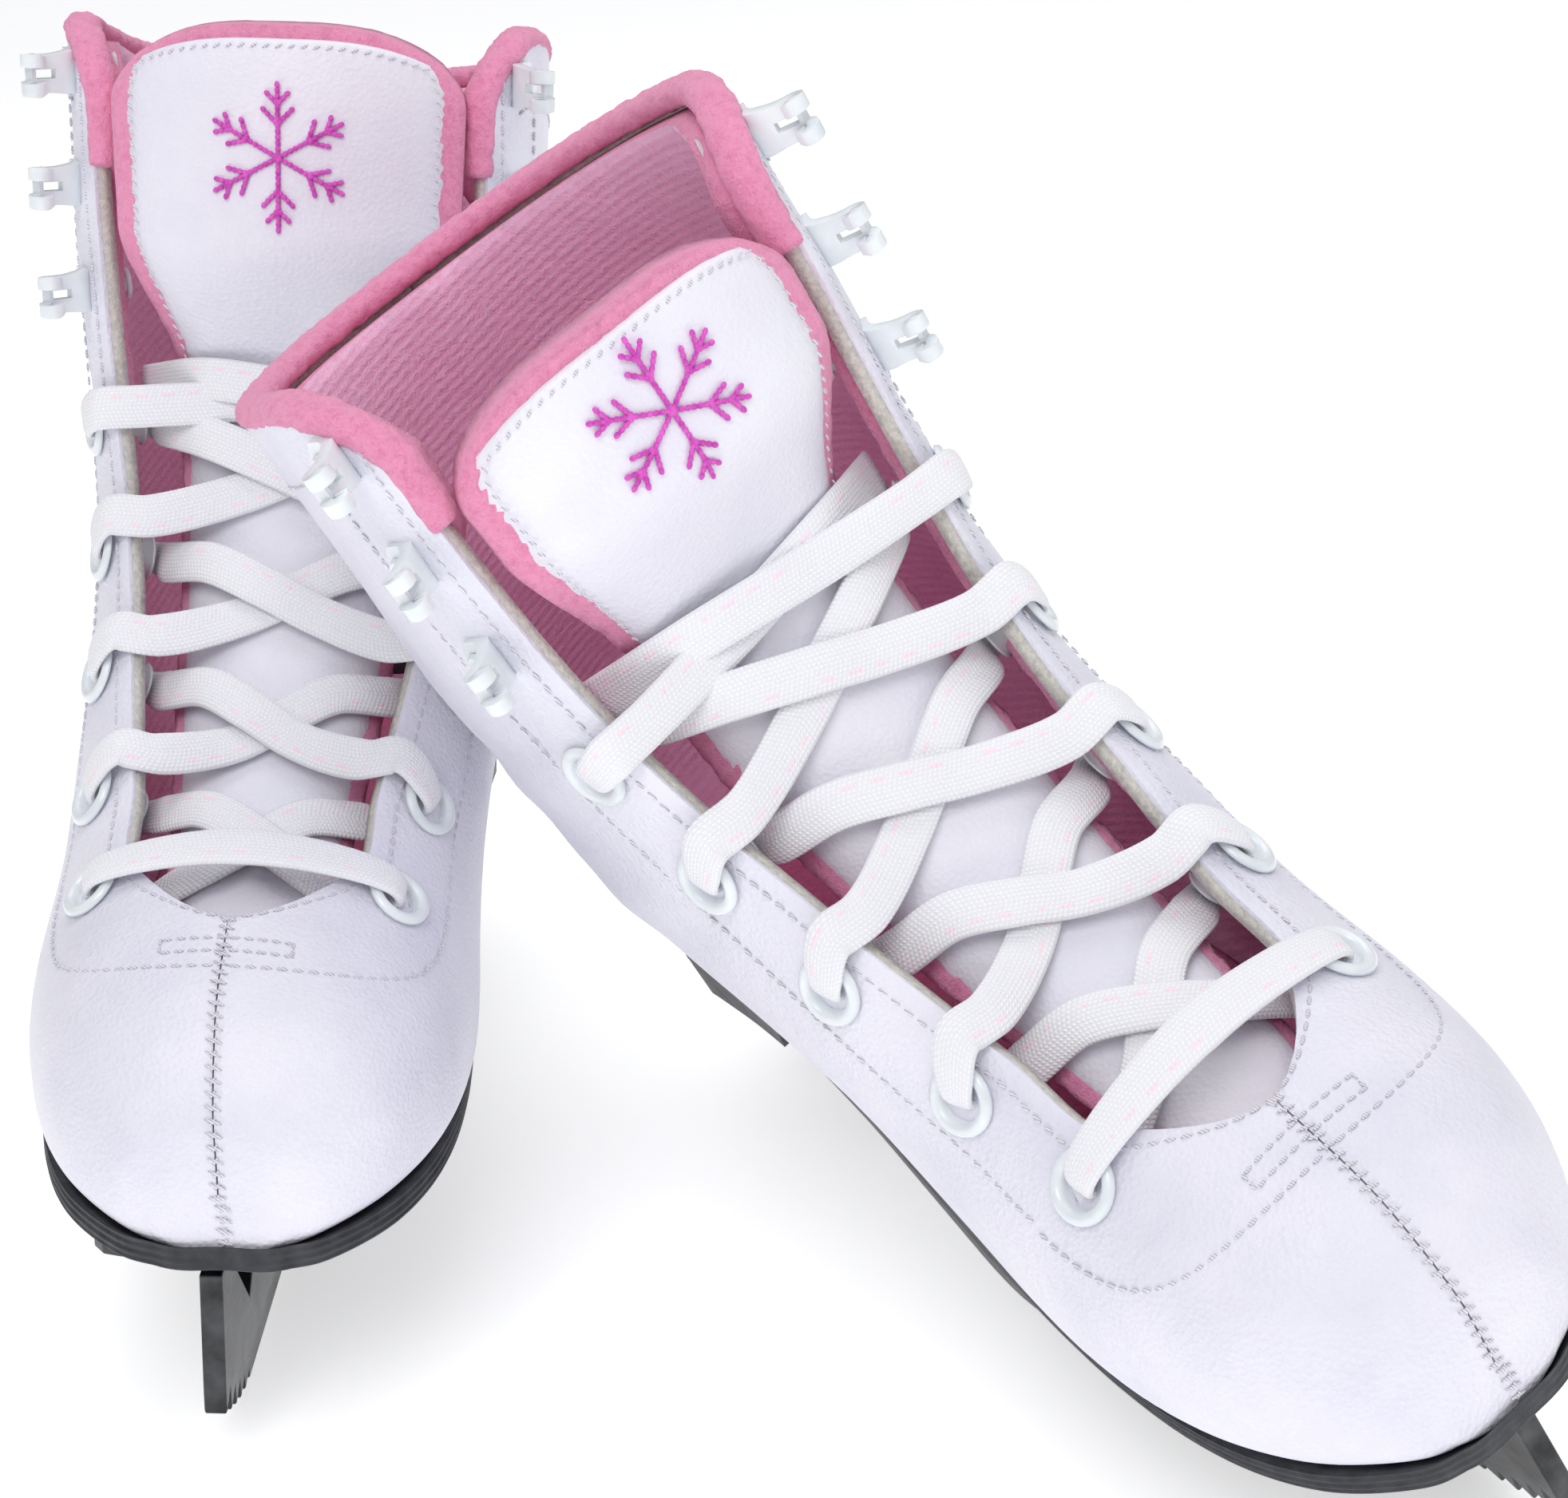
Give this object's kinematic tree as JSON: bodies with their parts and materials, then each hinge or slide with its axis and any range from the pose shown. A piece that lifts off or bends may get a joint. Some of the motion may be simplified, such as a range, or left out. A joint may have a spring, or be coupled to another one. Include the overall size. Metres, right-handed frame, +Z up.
{
  "type": "figure skates",
  "caption": "Pair of laced figure skates with hooks, fleece lining, folding padded tongues and blades with toe picks, one leaning on the other",
  "frame": {"origin": "middle of the pair's footprint, on the ice", "axes": "+Z up; the toe of the upright right skate points to -Y; the left skate stands to +X and leans over towards it"},
  "size_m": [0.2526, 0.2936, 0.2215],
  "materials": {
    "leatherette": "white synthetic leather, fine grain",
    "fleece": "pink ribbed fleece",
    "board": "pressed fibre board",
    "lace": "flat woven white lace with pink flecks",
    "enamel": "white enamel on steel",
    "sole": "black moulded plastic",
    "steel": "ground steel"
  },
  "bodies": {
    "skates": {"right_eyelet_left_1": "enamel", "right_eyelet_left_2": "enamel", "right_eyelet_left_3": "enamel", "right_eyelet_left_4": "enamel", "right_eyelet_left_5": "enamel", "right_hook_left_1": "enamel", "right_hook_left_2": "enamel", "right_hook_left_3": "enamel", "right_eyelet_right_1": "enamel", "right_eyelet_right_2": "enamel", "right_eyelet_right_3": "enamel", "right_eyelet_right_4": "enamel", "right_eyelet_right_5": "enamel", "right_hook_right_1": "enamel", "right_hook_right_2": "enamel", "right_hook_right_3": "enamel", "right_upper_left": "leatherette", "right_upper_right": "leatherette", "right_backstay": "leatherette", "right_lining": "fleece", "right_lasting_board": "board", "right_footbed": "fleece", "right_tongue_lower": "leatherette", "right_lace": "lace", "right_outsole": "sole", "right_front_plate": "steel", "right_heel_plate": "steel", "right_runner": "steel", "left_eyelet_left_1": "enamel", "left_eyelet_left_2": "enamel", "left_eyelet_left_3": "enamel", "left_eyelet_left_4": "enamel", "left_eyelet_left_5": "enamel", "left_hook_left_1": "enamel", "left_hook_left_2": "enamel", "left_hook_left_3": "enamel", "left_eyelet_right_1": "enamel", "left_eyelet_right_2": "enamel", "left_eyelet_right_3": "enamel", "left_eyelet_right_4": "enamel", "left_eyelet_right_5": "enamel", "left_hook_right_1": "enamel", "left_hook_right_2": "enamel", "left_hook_right_3": "enamel", "left_upper_left": "leatherette", "left_upper_right": "leatherette", "left_backstay": "leatherette", "left_lining": "fleece", "left_lasting_board": "board", "left_footbed": "fleece", "left_tongue_lower": "leatherette", "left_lace": "lace", "left_outsole": "sole", "left_front_plate": "steel", "left_heel_plate": "steel", "left_runner": "steel"},
    "right_tongue": {"right_tongue_pad": "leatherette"},
    "left_tongue": {"left_tongue_pad": "leatherette"}
  },
  "joints": [
    {"name": "right_tongue_fold", "type": "hinge", "parent": "skates", "child": "right_tongue", "pos_m": [-0.0722, 0.04052, 0.15879], "axis": [0.9925, 0, -0.1219], "range_deg": [0, 30]},
    {"name": "left_tongue_fold", "type": "hinge", "parent": "skates", "child": "left_tongue", "pos_m": [0.00955, -0.05453, 0.14488], "axis": [0.7896, 0.4341, 0.4337], "range_deg": [0, 30]}
  ]
}
